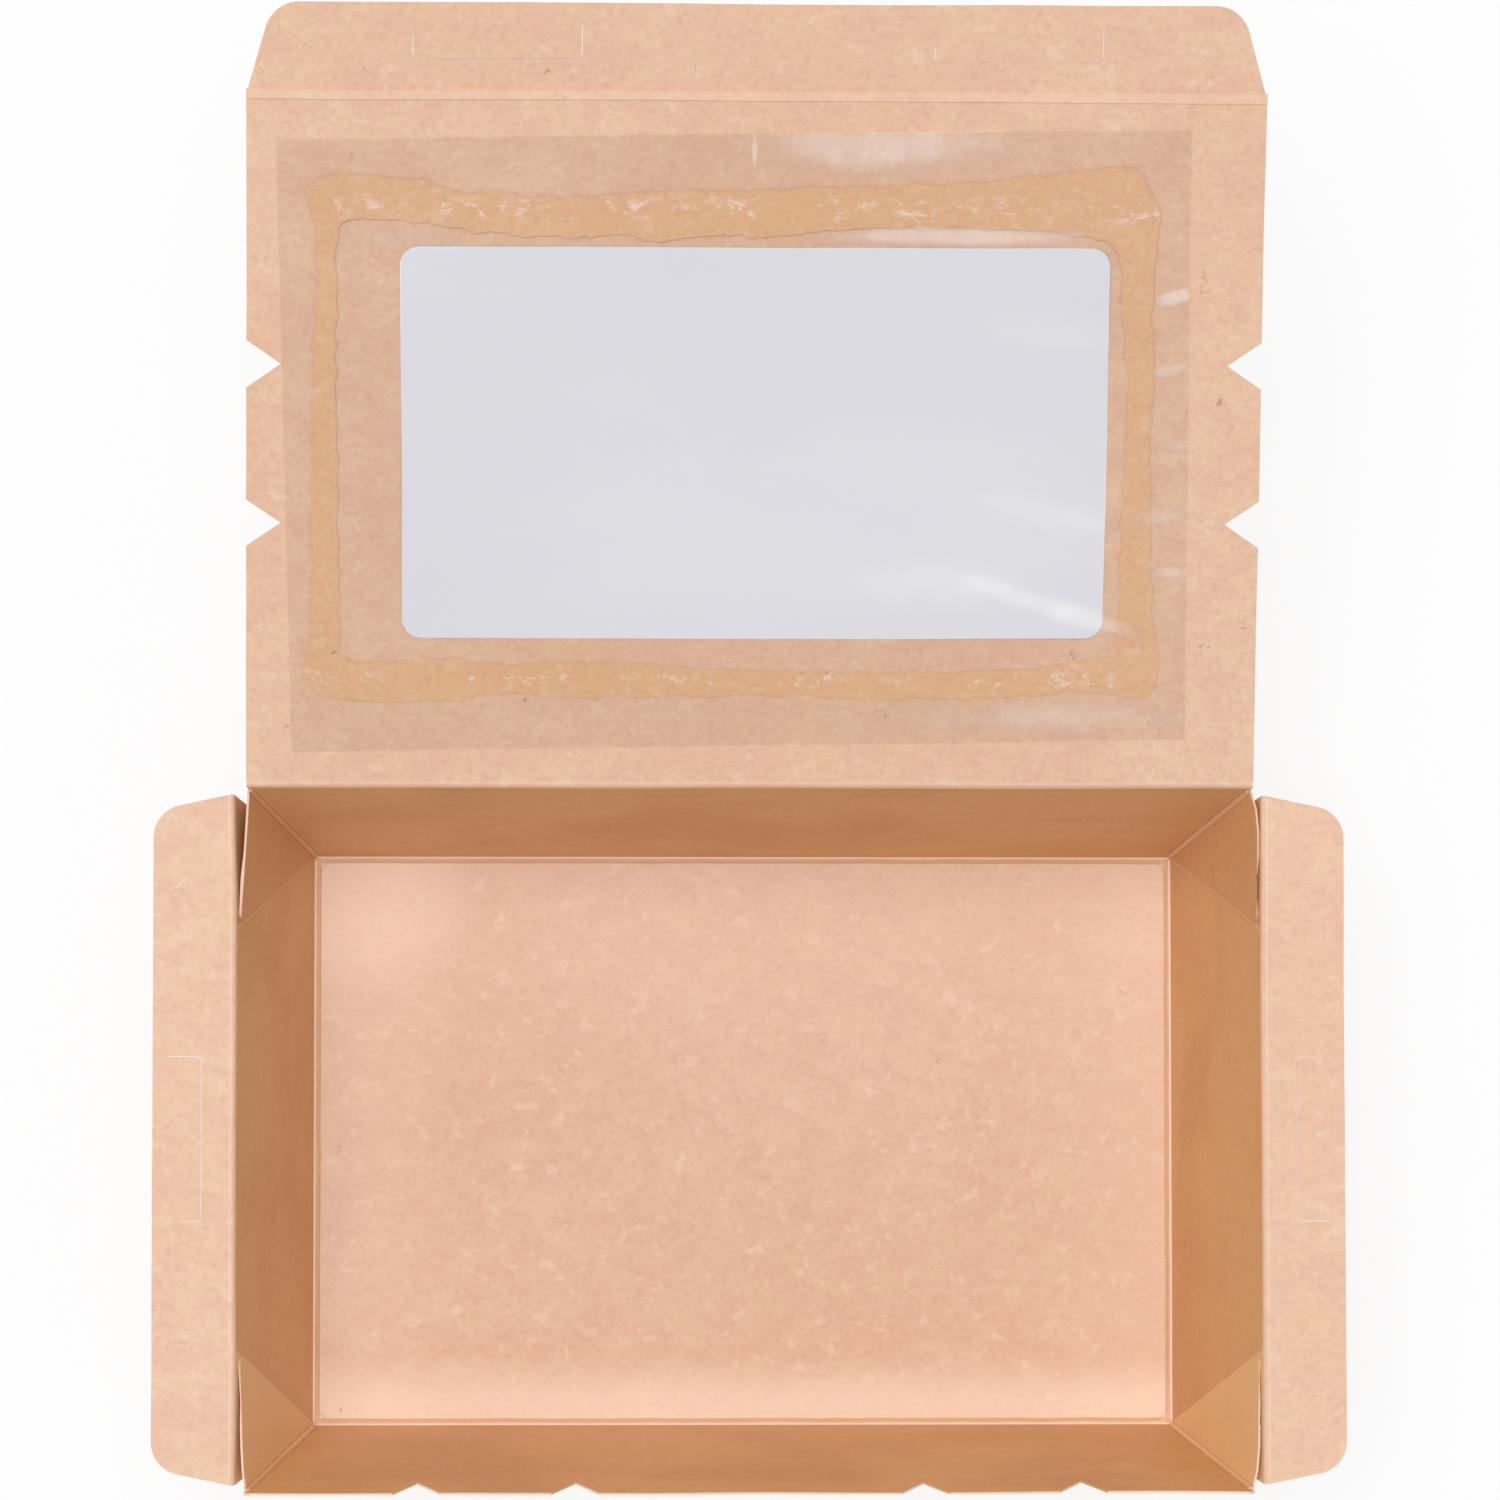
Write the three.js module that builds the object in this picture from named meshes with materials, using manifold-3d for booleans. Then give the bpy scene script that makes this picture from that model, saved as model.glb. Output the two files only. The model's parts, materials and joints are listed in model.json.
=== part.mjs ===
// Window meal box: a one-piece kraft card tray with a hinged lid, a clear film window and folding end flaps.
// Millimetres, +Z up. The origin is the middle of the tray's underside, +X runs along the lid's hinge, and the
// lid opens towards +Y. Each panel is laid out flat on the middle of its card, with u along its fold and v away
// from it, and is then turned into place about that fold.
import * as THREE from "three";
import { mergeVertices } from "three/addons/utils/BufferGeometryUtils.js";
import Module from "manifold-3d";

// Card, film and creases
const cardThickness = 0.45;
const filmThickness = 0.1;
const glueThickness = 0.1;
const layerGap = 0.06;
const beadRadius = 0.45;
const beadInset = 0.1;
const innerBeadRadius = 0.26;
const innerBeadInset = 1.05;
const innerBeadRise = 0.2;
const innerBeadChamfer = 2;
const glueLap = 0.15;
const slitKerf = 0.12;

// Tray
const floorLength = 177;
const floorDepth = 117;
const trayHeight = 45;
const sideLean = 12.6;
const wallLean = 12.2;
const endWallFlare = 2.1;
const endRimDrop = 1.1;
const frontRimDrop = 0.6;
const endWallSetback = 0.6;
const rimClearance = 0.4;
const gussetReach = 28.2;
const gussetRimDrop = 1.8;
const gussetTipDrop = 3;
const gussetTipRadius = 1.9;
const cornerStop = 0.8;

// Lock notches in the front wall and in the lid's sides
const notchWidth = 9.5;
const notchDepth = 6.8;
const frontTongueWidth = 31.6;
const frontTongueCentre = 50.8;
const lidTongueWidth = 32.1;
const lidTongueCentre = 70.4;

// Lid and its window
const lidDepth = 140.2;
const lidBackWidth = 202;
const lidFrontWidth = 198.9;
const lidHingeClearance = 0.15;
const lidRestAngle = 19.6;
const lidCornerRadius = 0.8;
const windowLength = 139.4;
const windowDepth = 79.5;
const windowCornerRadius = 3.8;
const windowCentre = 70.35;

// Film and the glue ring that holds it
const filmLength = 178.7;
const filmDepth = 124.2;
const filmOffset = -3.5;
const filmCentre = 70.6;
const filmSkew = 0.9;
const filmCornerRadius = 0.6;
const glueOuterInset = 6.6;
const glueBandWidth = 6.6;
const glueCornerRadius = 3;
const glueWaveHeight = 0.8;
const glueWaveLength = 26;

// Tuck flap
const tuckDepth = 18.1;
const tuckBaseInset = 0.1;
const tuckSideTaper = 3.8;
const tuckShoulder = 12.6;
const tuckCornerRadius = 7;
const tuckFoldClearance = 0.15;

// End flaps
const endFlapDepth = 16.2;
const endFlapBaseLength = 137.8;
const endFlapEndTaper = 2.3;
const endFlapShoulder = 9.6;
const endFlapCornerRadius = 6.6;
const endFlapClearance = 0.15;

// Three-sided slits that take the tongues
const slitLength = 33;
const slitLegLength = 6.6;
const slitCornerRadius = 1.2;
const tuckSlitSetback = 7;
const endSlitSetback = 6.4;

const halfCard = cardThickness / 2;
const halfFloor = floorLength / 2;
const halfDepth = floorDepth / 2;
const foldHeight = halfCard;
const arcSteps = 5;
const barSides = 10;

const wasm = await Module();
wasm.setup();

const kraft = new THREE.MeshStandardMaterial({ color: 0xdcae88, roughness: 0.8, metalness: 0 });
const clearFilm = new THREE.MeshStandardMaterial({
  color: 0xe2e7ec,
  roughness: 0.1,
  metalness: 0,
  transparent: true,
  opacity: 0.3,
});
const driedGlue = new THREE.MeshStandardMaterial({ color: 0xd9a878, roughness: 0.4, metalness: 0 });

// Turns a closed three.js geometry into a solid that can be joined and cut.
function toSolid(geometry) {
  const bare = geometry.clone();
  bare.deleteAttribute("normal");
  bare.deleteAttribute("uv");
  const merged = mergeVertices(bare, 1e-5);
  const mesh = new wasm.Mesh({
    numProp: 3,
    vertProperties: new Float32Array(merged.attributes.position.array),
    triVerts: new Uint32Array(merged.index.array),
  });
  return new wasm.Manifold(mesh);
}

function toGeometry(solid) {
  const mesh = solid.getMesh();
  const geometry = new THREE.BufferGeometry();
  geometry.setAttribute("position", new THREE.BufferAttribute(new Float32Array(mesh.vertProperties), 3));
  geometry.setIndex(new THREE.BufferAttribute(new Uint32Array(mesh.triVerts), 1));
  geometry.computeVertexNormals();
  return geometry;
}

function join(solids) {
  return solids.reduce((whole, next) => whole.add(next));
}

// A flat sheet of the given outline, centred on the plane w = 0 of its own u, v, w axes.
function sheet(outline, thickness) {
  const geometry = new THREE.ExtrudeGeometry(outline, {
    depth: thickness,
    bevelEnabled: false,
    curveSegments: arcSteps,
  });
  geometry.translate(0, 0, -thickness / 2);
  return geometry;
}

// Places a flat sheet with u along one direction and v along another, from a point on its fold.
function placing(origin, uAxis, vAxis) {
  const u = uAxis.clone().normalize();
  const v = vAxis.clone().normalize();
  const matrix = new THREE.Matrix4().makeBasis(u, v, new THREE.Vector3().crossVectors(u, v));
  return matrix.setPosition(origin);
}

function panel(outline, matrix) {
  return toSolid(sheet(outline, cardThickness).applyMatrix4(matrix));
}

// A round bar between two points, for the rounded outside of a fold or the raised bead inside it.
function bar(start, end, radius) {
  const along = new THREE.Vector3().subVectors(end, start);
  const geometry = new THREE.CylinderGeometry(radius, radius, along.length(), barSides);
  const turn = new THREE.Quaternion().setFromUnitVectors(new THREE.Vector3(0, 1, 0), along.clone().normalize());
  geometry.applyQuaternion(turn);
  const middle = new THREE.Vector3().addVectors(start, end).multiplyScalar(0.5);
  geometry.translate(middle.x, middle.y, middle.z);
  return toSolid(geometry);
}

// A pair of V notches whose inner edges leave a tongue between them, as points along an edge at height v.
function notchPair(centre, tongueWidth, depthSign, edge) {
  const points = [];
  for (const side of [-1, 1]) {
    const apex = centre + (side * tongueWidth) / 2;
    points.push([apex - notchWidth / 2, edge]);
    points.push([apex, edge + depthSign * notchDepth]);
    points.push([apex + notchWidth / 2, edge]);
  }
  return points;
}

// The tray's walls lean out from the floor's folds. A wall's fold runs along u and its slope along v.
const wallRise = trayHeight - foldHeight;
const wallSlant = Math.hypot(wallLean, wallRise);
const frontSlant = wallSlant * ((wallRise - frontRimDrop) / wallRise);
const endRise = wallRise - endRimDrop;
const endLean = sideLean + endWallFlare;
const endSlant = Math.hypot(endLean, endRise);
const endHingeX = halfFloor + endLean;
const endHingeZ = trayHeight - endRimDrop;
const lidHingeY = halfDepth + wallLean;
const cornerFootX = halfFloor - cardThickness + glueLap;
const cornerRimX = halfFloor + sideLean;

function halfWidthAt(v) {
  return cornerFootX + ((cornerRimX - cornerFootX) * v) / wallSlant;
}

function longWallPlacing(side) {
  const origin = new THREE.Vector3(0, side * halfDepth, foldHeight);
  return placing(origin, new THREE.Vector3(-side, 0, 0), new THREE.Vector3(0, side * wallLean, wallRise));
}

function backWall() {
  const top = wallSlant - rimClearance;
  const outline = new THREE.Shape();
  outline.moveTo(-cornerFootX, 0);
  outline.lineTo(cornerFootX, 0);
  outline.lineTo(halfWidthAt(top), top);
  outline.lineTo(-halfWidthAt(top), top);
  return panel(outline, longWallPlacing(1));
}

function frontWall() {
  const outline = new THREE.Shape();
  outline.moveTo(-cornerFootX, 0);
  outline.lineTo(cornerFootX, 0);
  outline.lineTo(halfWidthAt(frontSlant), frontSlant);
  const notches = [
    ...notchPair(-frontTongueCentre, frontTongueWidth, -1, frontSlant),
    ...notchPair(frontTongueCentre, frontTongueWidth, -1, frontSlant),
  ];
  notches.reverse().forEach(([u, v]) => outline.lineTo(u, v));
  outline.lineTo(-halfWidthAt(frontSlant), frontSlant);
  return panel(outline, longWallPlacing(-1));
}

function endWall(side) {
  const foot = halfDepth - endWallSetback;
  const top = endSlant - rimClearance;
  const outline = new THREE.Shape();
  outline.moveTo(-foot, 0);
  outline.lineTo(foot, 0);
  outline.lineTo(endFlapBaseLength / 2, top);
  outline.lineTo(-endFlapBaseLength / 2, top);
  const origin = new THREE.Vector3(side * halfFloor, 0, foldHeight);
  const up = new THREE.Vector3(side * endLean, 0, endRise);
  return panel(outline, placing(origin, new THREE.Vector3(0, side, 0), up));
}

// The points of one glue flap: the foot and head of its crease, and its tip against the end wall.
function gussetPoints(sideX, sideY) {
  const foot = new THREE.Vector3(sideX * cornerFootX, sideY * halfDepth, foldHeight);
  const rim = new THREE.Vector3(sideX * cornerRimX, sideY * (halfDepth + wallLean), trayHeight);
  const headShare = 1 - gussetRimDrop / wallRise;
  const head = new THREE.Vector3().lerpVectors(foot, rim, headShare);
  const tipZ = trayHeight - gussetTipDrop;
  const endWallX = halfFloor + (endLean * (tipZ - foldHeight)) / endRise;
  const tipX = sideX * (endWallX - cardThickness + glueLap);
  const tip = new THREE.Vector3(tipX, sideY * (halfDepth + wallLean - gussetReach), tipZ);
  return { foot, head, tip };
}

// A glue flap is a triangle folded in from the corner crease, with a rounded tip. Its cut edges run from the
// tip to the floor's corner and along under the rim.
function gusset(sideX, sideY) {
  const { foot, head, tip } = gussetPoints(sideX, sideY);
  const along = new THREE.Vector3().subVectors(head, foot);
  const toTip = new THREE.Vector3().subVectors(tip, foot);
  const u = along.clone().normalize();
  const length = along.length();
  const across = toTip.clone().addScaledVector(u, -toTip.dot(u));
  const tipU = toTip.dot(u);
  const tipV = across.length();
  const outline = new THREE.Shape();
  outline.moveTo(0, 0);
  const lower = new THREE.Vector2(tipU, tipV);
  const back = lower.clone().normalize();
  const upper = new THREE.Vector2(length - tipU, -tipV).normalize();
  const start = lower.clone().addScaledVector(back, -gussetTipRadius * 2);
  const end = lower.clone().addScaledVector(upper, gussetTipRadius * 2);
  outline.lineTo(length, 0);
  outline.lineTo(end.x, end.y);
  outline.quadraticCurveTo(lower.x, lower.y, start.x, start.y);
  outline.lineTo(0, 0);
  return panel(outline, placing(foot, u, across));
}

// The crease down a corner: a round outside and a raised bead inside, up to where the rim is cut.
function cornerCrease(sideX, sideY) {
  const { foot, head } = gussetPoints(sideX, sideY);
  const top = head.clone().addScaledVector(new THREE.Vector3().subVectors(foot, head).normalize(), cornerStop);
  const inset = new THREE.Vector3(-sideX * beadInset, -sideY * beadInset, beadRadius - foldHeight);
  return [bar(foot, top, halfCard), bar(foot.clone().add(inset), top.clone().add(inset), beadRadius)];
}

// The creases round the floor, rounded outside and raised inside.
function floorCreases() {
  const lift = beadRadius - foldHeight;
  const bars = [];
  for (const side of [-1, 1]) {
    const longEnds = [-1, 1].map((end) => new THREE.Vector3(end * cornerFootX, side * halfDepth, foldHeight));
    const shortEnds = [-1, 1].map((end) => {
      return new THREE.Vector3(side * halfFloor, end * (halfDepth - endWallSetback), foldHeight);
    });
    const longInset = new THREE.Vector3(0, -side * beadInset, lift);
    const shortInset = new THREE.Vector3(-side * beadInset, 0, lift);
    for (const [ends, inset] of [[longEnds, longInset], [shortEnds, shortInset]]) {
      bars.push(bar(ends[0], ends[1], halfCard));
      bars.push(bar(ends[0].clone().add(inset), ends[1].clone().add(inset), beadRadius));
    }
  }
  return bars;
}

// The second bead of the floor's double crease: a ring inside the first, cut across at the corners.
function innerFloorCrease() {
  const reachX = halfFloor - innerBeadInset;
  const reachY = halfDepth - innerBeadInset;
  const level = cardThickness + innerBeadRise - innerBeadRadius;
  const corners = [];
  for (const [signX, signY] of [[1, 1], [-1, 1], [-1, -1], [1, -1]]) {
    const onSide = [signX * reachX, signY * (reachY - innerBeadChamfer)];
    const onEnd = [signX * (reachX - innerBeadChamfer), signY * reachY];
    corners.push(...(signX * signY > 0 ? [onSide, onEnd] : [onEnd, onSide]));
  }
  const ring = corners.map(([x, y]) => new THREE.Vector3(x, y, level));
  return ring.map((point, place) => bar(point, ring[(place + 1) % ring.length], innerBeadRadius));
}

function floorPanel() {
  const outline = new THREE.Shape();
  outline.moveTo(-halfFloor, -halfDepth);
  outline.lineTo(halfFloor, -halfDepth);
  outline.lineTo(halfFloor, halfDepth);
  outline.lineTo(-halfFloor, halfDepth);
  const origin = new THREE.Vector3(0, 0, foldHeight);
  return panel(outline, placing(origin, new THREE.Vector3(1, 0, 0), new THREE.Vector3(0, 1, 0)));
}

function tray() {
  const solids = [floorPanel(), backWall(), frontWall(), ...floorCreases(), ...innerFloorCrease()];
  for (const sideX of [-1, 1]) {
    solids.push(endWall(sideX));
    for (const sideY of [-1, 1]) {
      solids.push(gusset(sideX, sideY), ...cornerCrease(sideX, sideY));
    }
  }
  return toGeometry(join(solids));
}

// A rounded rectangle about a centre, as a hole or an outline.
function roundedRectangle(path, centreU, centreV, length, depth, radius) {
  const right = centreU + length / 2 - radius;
  const left = centreU - length / 2 + radius;
  const top = centreV + depth / 2 - radius;
  const bottom = centreV - depth / 2 + radius;
  path.absarc(right, bottom, radius, -Math.PI / 2, 0, false);
  path.absarc(right, top, radius, 0, Math.PI / 2, false);
  path.absarc(left, top, radius, Math.PI / 2, Math.PI, false);
  path.absarc(left, bottom, radius, Math.PI, Math.PI * 1.5, false);
  path.closePath();
  return path;
}

// A three-sided slit: one long cut nearest the fold at v = edge, and a leg at each end towards the free edge.
function lockSlit(centreU, edge) {
  const outer = slitLength / 2;
  const inner = outer - slitKerf;
  const near = edge;
  const far = edge + slitLegLength;
  const outerRadius = slitCornerRadius;
  const innerRadius = slitCornerRadius - slitKerf;
  const slit = new THREE.Path();
  slit.moveTo(centreU - outer, far);
  slit.absarc(centreU - outer + outerRadius, near + outerRadius, outerRadius, Math.PI, Math.PI * 1.5, false);
  slit.absarc(centreU + outer - outerRadius, near + outerRadius, outerRadius, Math.PI * 1.5, 2 * Math.PI, false);
  slit.lineTo(centreU + outer, far);
  slit.lineTo(centreU + inner, far);
  slit.absarc(centreU + inner - innerRadius, near + outerRadius, innerRadius, 2 * Math.PI, Math.PI * 1.5, true);
  slit.absarc(centreU - inner + innerRadius, near + outerRadius, innerRadius, Math.PI * 1.5, Math.PI, true);
  slit.lineTo(centreU - inner, far);
  slit.closePath();
  return slit;
}

// Half the lid's width at a distance from its hinge: its sides close in a little towards the front.
function lidHalfWidth(v) {
  return (lidBackWidth + ((lidFrontWidth - lidBackWidth) * v) / lidDepth) / 2;
}

function lidSideNotches(side) {
  const points = [];
  for (const [along, reach] of notchPair(lidTongueCentre, lidTongueWidth, 1, 0)) {
    points.push([side * (lidHalfWidth(along) - reach), along]);
  }
  return points;
}

function lidPanel() {
  const back = lidHingeClearance;
  const front = lidDepth - tuckFoldClearance;
  const outline = new THREE.Shape();
  outline.moveTo(-lidHalfWidth(back) + lidCornerRadius, back);
  outline.lineTo(lidHalfWidth(back) - lidCornerRadius, back);
  outline.lineTo(lidHalfWidth(back), back + lidCornerRadius);
  lidSideNotches(1).forEach(([u, v]) => outline.lineTo(u, v));
  outline.lineTo(lidHalfWidth(front), front);
  outline.lineTo(-lidHalfWidth(front), front);
  lidSideNotches(-1).reverse().forEach(([u, v]) => outline.lineTo(u, v));
  outline.lineTo(-lidHalfWidth(back), back + lidCornerRadius);
  const window = new THREE.Path();
  outline.holes.push(roundedRectangle(window, 0, windowCentre, windowLength, windowDepth, windowCornerRadius));
  return sheet(outline, cardThickness);
}

// A tapered flap with a straight base, slanted ends and two rounded free corners.
function flapOutline(base, start, baseHalf, taper, shoulder, depth, radius) {
  const slant = Math.atan2(taper, shoulder);
  const shoulderHalf = baseHalf - taper;
  const sweep = Math.PI / 2 - slant;
  const centreU = shoulderHalf - radius * Math.cos(slant);
  const centreV = depth - radius;
  const joinV = centreV + radius * Math.sin(slant);
  const joinHalf = centreU + radius * Math.cos(slant);
  const outline = new THREE.Shape();
  outline.moveTo(-baseHalf, base + start);
  outline.lineTo(baseHalf, base + start);
  outline.lineTo(joinHalf, base + joinV);
  outline.absarc(centreU, base + centreV, radius, slant, slant + sweep, false);
  outline.absarc(-centreU, base + centreV, radius, Math.PI / 2, Math.PI - slant, false);
  outline.lineTo(-joinHalf, base + joinV);
  return outline;
}

function tuckFlap() {
  const baseHalf = lidHalfWidth(lidDepth) - tuckBaseInset;
  const outline = flapOutline(
    lidDepth,
    tuckFoldClearance,
    baseHalf,
    tuckSideTaper,
    tuckShoulder,
    tuckDepth,
    tuckCornerRadius,
  );
  for (const side of [-1, 1]) {
    outline.holes.push(lockSlit(side * frontTongueCentre, lidDepth + tuckSlitSetback));
  }
  return sheet(outline, cardThickness);
}

function endFlap() {
  const outline = flapOutline(
    0,
    endFlapClearance,
    endFlapBaseLength / 2,
    endFlapEndTaper,
    endFlapShoulder,
    endFlapDepth,
    endFlapCornerRadius,
  );
  outline.holes.push(lockSlit(0, endSlitSetback));
  return sheet(outline, cardThickness);
}

function windowFilm() {
  const outline = roundedRectangle(new THREE.Shape(), 0, 0, filmLength, filmDepth, filmCornerRadius);
  return sheet(outline, filmThickness);
}

// A closed wavy outline round a rounded rectangle, as glue that was laid by hand speed and pressed flat.
function wavyRing(length, depth, phase) {
  const points = [];
  const radius = glueCornerRadius;
  const base = roundedRectangle(new THREE.Path(), 0, 0, length, depth, radius);
  const steps = Math.round((2 * (length + depth)) / (glueWaveLength / 6));
  for (const point of base.getSpacedPoints(steps).slice(0, steps)) {
    const around = Math.atan2(point.y * length, point.x * depth);
    const travel = (around / Math.PI) * (length + depth);
    const wave = Math.sin((travel / glueWaveLength) * 2 * Math.PI + phase) * glueWaveHeight;
    const scale = 1 + wave / point.length();
    points.push(point.multiplyScalar(scale));
  }
  return points;
}

function filmGlue() {
  const outerLength = filmLength - 2 * glueOuterInset;
  const outerDepth = filmDepth - 2 * glueOuterInset;
  const outline = new THREE.Shape(wavyRing(outerLength, outerDepth, 0));
  const innerLength = outerLength - 2 * glueBandWidth;
  const innerDepth = outerDepth - 2 * glueBandWidth;
  outline.holes.push(new THREE.Path(wavyRing(innerLength, innerDepth, Math.PI / 3)));
  return sheet(outline, glueThickness);
}

function named(name, geometry, material) {
  const mesh = new THREE.Mesh(geometry, material);
  mesh.name = name;
  return mesh;
}

// The lid's group turns about the back wall's rim, and holds the film and its glue on the lid's inner face.
function lidGroup() {
  const group = new THREE.Group();
  group.position.set(0, lidHingeY, trayHeight);
  group.rotation.x = THREE.MathUtils.degToRad(lidRestAngle);
  group.add(named("lid_panel", lidPanel(), kraft));
  group.add(named("tuck_flap", tuckFlap(), kraft));

  const glue = named("film_glue", filmGlue(), driedGlue);
  const glueLevel = halfCard + layerGap + glueThickness / 2;
  const film = named("window_film", windowFilm(), clearFilm);
  const filmLevel = glueLevel + glueThickness / 2 + layerGap + filmThickness / 2;
  glue.position.set(filmOffset, filmCentre, glueLevel);
  film.position.set(filmOffset, filmCentre, filmLevel);
  for (const layer of [glue, film]) {
    layer.rotation.z = THREE.MathUtils.degToRad(filmSkew);
    group.add(layer);
  }
  return group;
}

// An end flap's group stands at the end wall's rim, with the flap laid out level.
function endFlapGroup(name, side) {
  const group = new THREE.Group();
  group.position.set(side * endHingeX, 0, endHingeZ);
  group.rotation.z = (-side * Math.PI) / 2;
  group.add(named(name, endFlap(), kraft));
  return group;
}

const mealBox = new THREE.Group();
mealBox.name = "window_meal_box";
mealBox.add(named("tray", tray(), kraft));
mealBox.add(lidGroup());
mealBox.add(endFlapGroup("left_end_flap", -1));
mealBox.add(endFlapGroup("right_end_flap", 1));

export default mealBox;
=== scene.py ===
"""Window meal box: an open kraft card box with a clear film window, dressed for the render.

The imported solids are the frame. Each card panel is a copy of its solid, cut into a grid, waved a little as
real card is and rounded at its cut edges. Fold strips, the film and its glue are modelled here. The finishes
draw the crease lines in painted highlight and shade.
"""
from __future__ import annotations

import json
import logging
import math
from collections.abc import Iterator
from contextlib import contextmanager
from dataclasses import dataclass, field
from enum import Enum
from typing import NamedTuple

import bpy
from mathutils import Matrix, Vector, noise

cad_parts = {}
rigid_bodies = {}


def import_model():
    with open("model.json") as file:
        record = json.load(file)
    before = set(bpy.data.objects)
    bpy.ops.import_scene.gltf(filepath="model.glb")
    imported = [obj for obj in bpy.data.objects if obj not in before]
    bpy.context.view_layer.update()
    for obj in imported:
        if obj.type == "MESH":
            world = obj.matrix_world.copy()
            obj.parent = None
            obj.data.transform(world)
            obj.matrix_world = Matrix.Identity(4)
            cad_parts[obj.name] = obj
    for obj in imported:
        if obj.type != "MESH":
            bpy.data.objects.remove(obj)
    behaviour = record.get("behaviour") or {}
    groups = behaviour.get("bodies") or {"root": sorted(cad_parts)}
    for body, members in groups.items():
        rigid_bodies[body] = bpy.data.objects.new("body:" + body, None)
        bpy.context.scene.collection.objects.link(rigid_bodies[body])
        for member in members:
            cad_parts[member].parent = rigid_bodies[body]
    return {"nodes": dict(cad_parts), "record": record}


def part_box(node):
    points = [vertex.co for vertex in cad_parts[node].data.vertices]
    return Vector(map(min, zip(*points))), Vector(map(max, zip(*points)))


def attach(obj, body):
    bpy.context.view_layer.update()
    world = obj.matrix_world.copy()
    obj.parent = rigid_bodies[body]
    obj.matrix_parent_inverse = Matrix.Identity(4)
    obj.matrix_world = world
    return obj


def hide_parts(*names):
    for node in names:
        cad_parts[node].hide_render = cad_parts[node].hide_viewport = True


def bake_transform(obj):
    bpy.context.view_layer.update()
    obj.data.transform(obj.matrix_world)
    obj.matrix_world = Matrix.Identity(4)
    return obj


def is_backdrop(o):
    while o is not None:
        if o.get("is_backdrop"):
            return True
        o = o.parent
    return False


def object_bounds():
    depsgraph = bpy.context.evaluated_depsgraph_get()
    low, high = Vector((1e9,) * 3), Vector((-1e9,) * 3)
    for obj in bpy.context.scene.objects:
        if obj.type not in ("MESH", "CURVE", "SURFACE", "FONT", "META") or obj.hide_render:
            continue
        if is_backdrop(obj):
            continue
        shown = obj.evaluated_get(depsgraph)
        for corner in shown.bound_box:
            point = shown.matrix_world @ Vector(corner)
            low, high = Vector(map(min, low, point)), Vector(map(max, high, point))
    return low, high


log = logging.getLogger("meal_box")

MM = 0.001
WELD = 1e-6
SMOOTH_ANGLE = math.radians(35)
LID_FOLD_HALF = 100.9 * MM
TUCK_FOLD_HALF = 99.5 * MM
END_FOLD_HALF = 68.7 * MM
# How much lighter the fold strips are painted: a painted highlight on their rounded card.
CREASE_HIGHLIGHT = 0.3
# The attribute that marks the faces which get the walls' painted shade.
SHADED_SIDE = "food_side"
NOISE_MIDDLE = 0.5
MIX_INPUTS = (0, 6, 7)
MIX_OUTPUT = 2
WHITE = (1.0, 1.0, 1.0, 1.0)

Colour = tuple[float, float, float, float]
Span = tuple[float, float]
Triple = tuple[float, float, float]


def mm(*lengths: float) -> tuple[float, ...]:
    """Turns millimetres into metres."""
    return tuple(length * MM for length in lengths)


def srgb(*display: float) -> Colour:
    """Turns a display colour of 0 to 255 a channel into a linear one with full opacity."""
    shares = (value / 255 for value in display)
    return *(share / 12.92 if share <= 0.04045 else ((share + 0.055) / 1.055) ** 2.4 for share in shares), 1.0


class Side(Enum):
    """The two ends of the box along X."""

    LEFT = -1
    RIGHT = 1


@dataclass(frozen=True)
class TrayFold:
    """Where the tray is folded: its floor's edges, its corner creases and the cut of its glue flaps."""

    half_floor: Span = mm(88.5, 58.5)
    corner_foot: Triple = mm(88.1, 58.5, 0.2)
    corner_rim: Triple = mm(101.1, 70.7, 45)
    cut_slope: float = 0.381


# Shader values


class Signal:
    """A socket's value in a shader, which Python's operators work on through Math nodes."""

    def __init__(self, graph: ShaderGraph, socket: bpy.types.NodeSocket) -> None:
        """Keeps the graph and the socket that the value comes from."""
        self.graph = graph
        self.socket = socket

    def _math(self, operation: str, *values: Signal | float) -> Signal:
        """One Math node with this operation on these values."""
        return self.graph.node("ShaderNodeMath", {"operation": operation}, dict(enumerate(values)))

    def __add__(self, other: Signal | float) -> Signal:
        """Sum."""
        return self._math("ADD", self, other)

    __radd__ = __add__

    def __sub__(self, other: Signal | float) -> Signal:
        """Difference."""
        return self._math("SUBTRACT", self, other)

    def __rsub__(self, other: Signal | float) -> Signal:
        """Difference from a number."""
        return self._math("SUBTRACT", other, self)

    def __mul__(self, other: Signal | float) -> Signal:
        """Product."""
        return self._math("MULTIPLY", self, other)

    __rmul__ = __mul__

    def __gt__(self, other: Signal | float) -> Signal:
        """1 where this is the greater, otherwise 0."""
        return self._math("GREATER_THAN", self, other)

    def __lt__(self, other: Signal | float) -> Signal:
        """1 where this is the less, otherwise 0."""
        return self._math("LESS_THAN", self, other)

    def __abs__(self) -> Signal:
        """Size without sign."""
        return self._math("ABSOLUTE", self)

    def greatest(self, other: Signal | float) -> Signal:
        """The greater of the two."""
        return self._math("MAXIMUM", self, other)

    def least(self, other: Signal | float) -> Signal:
        """The less of the two."""
        return self._math("MINIMUM", self, other)

    def between(self, low: float, high: float) -> Signal:
        """A smooth step that is 0 up to low and 1 from high on."""
        settings = {"interpolation_type": "SMOOTHSTEP"}
        return self.graph.node("ShaderNodeMapRange", settings, {0: self, 1: low, 2: high, 3: 0.0, 4: 1.0})

    def fading(self, low: float, high: float) -> Signal:
        """A smooth step that is 1 up to low and 0 from high on."""
        return 1.0 - self.between(low, high)


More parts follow.
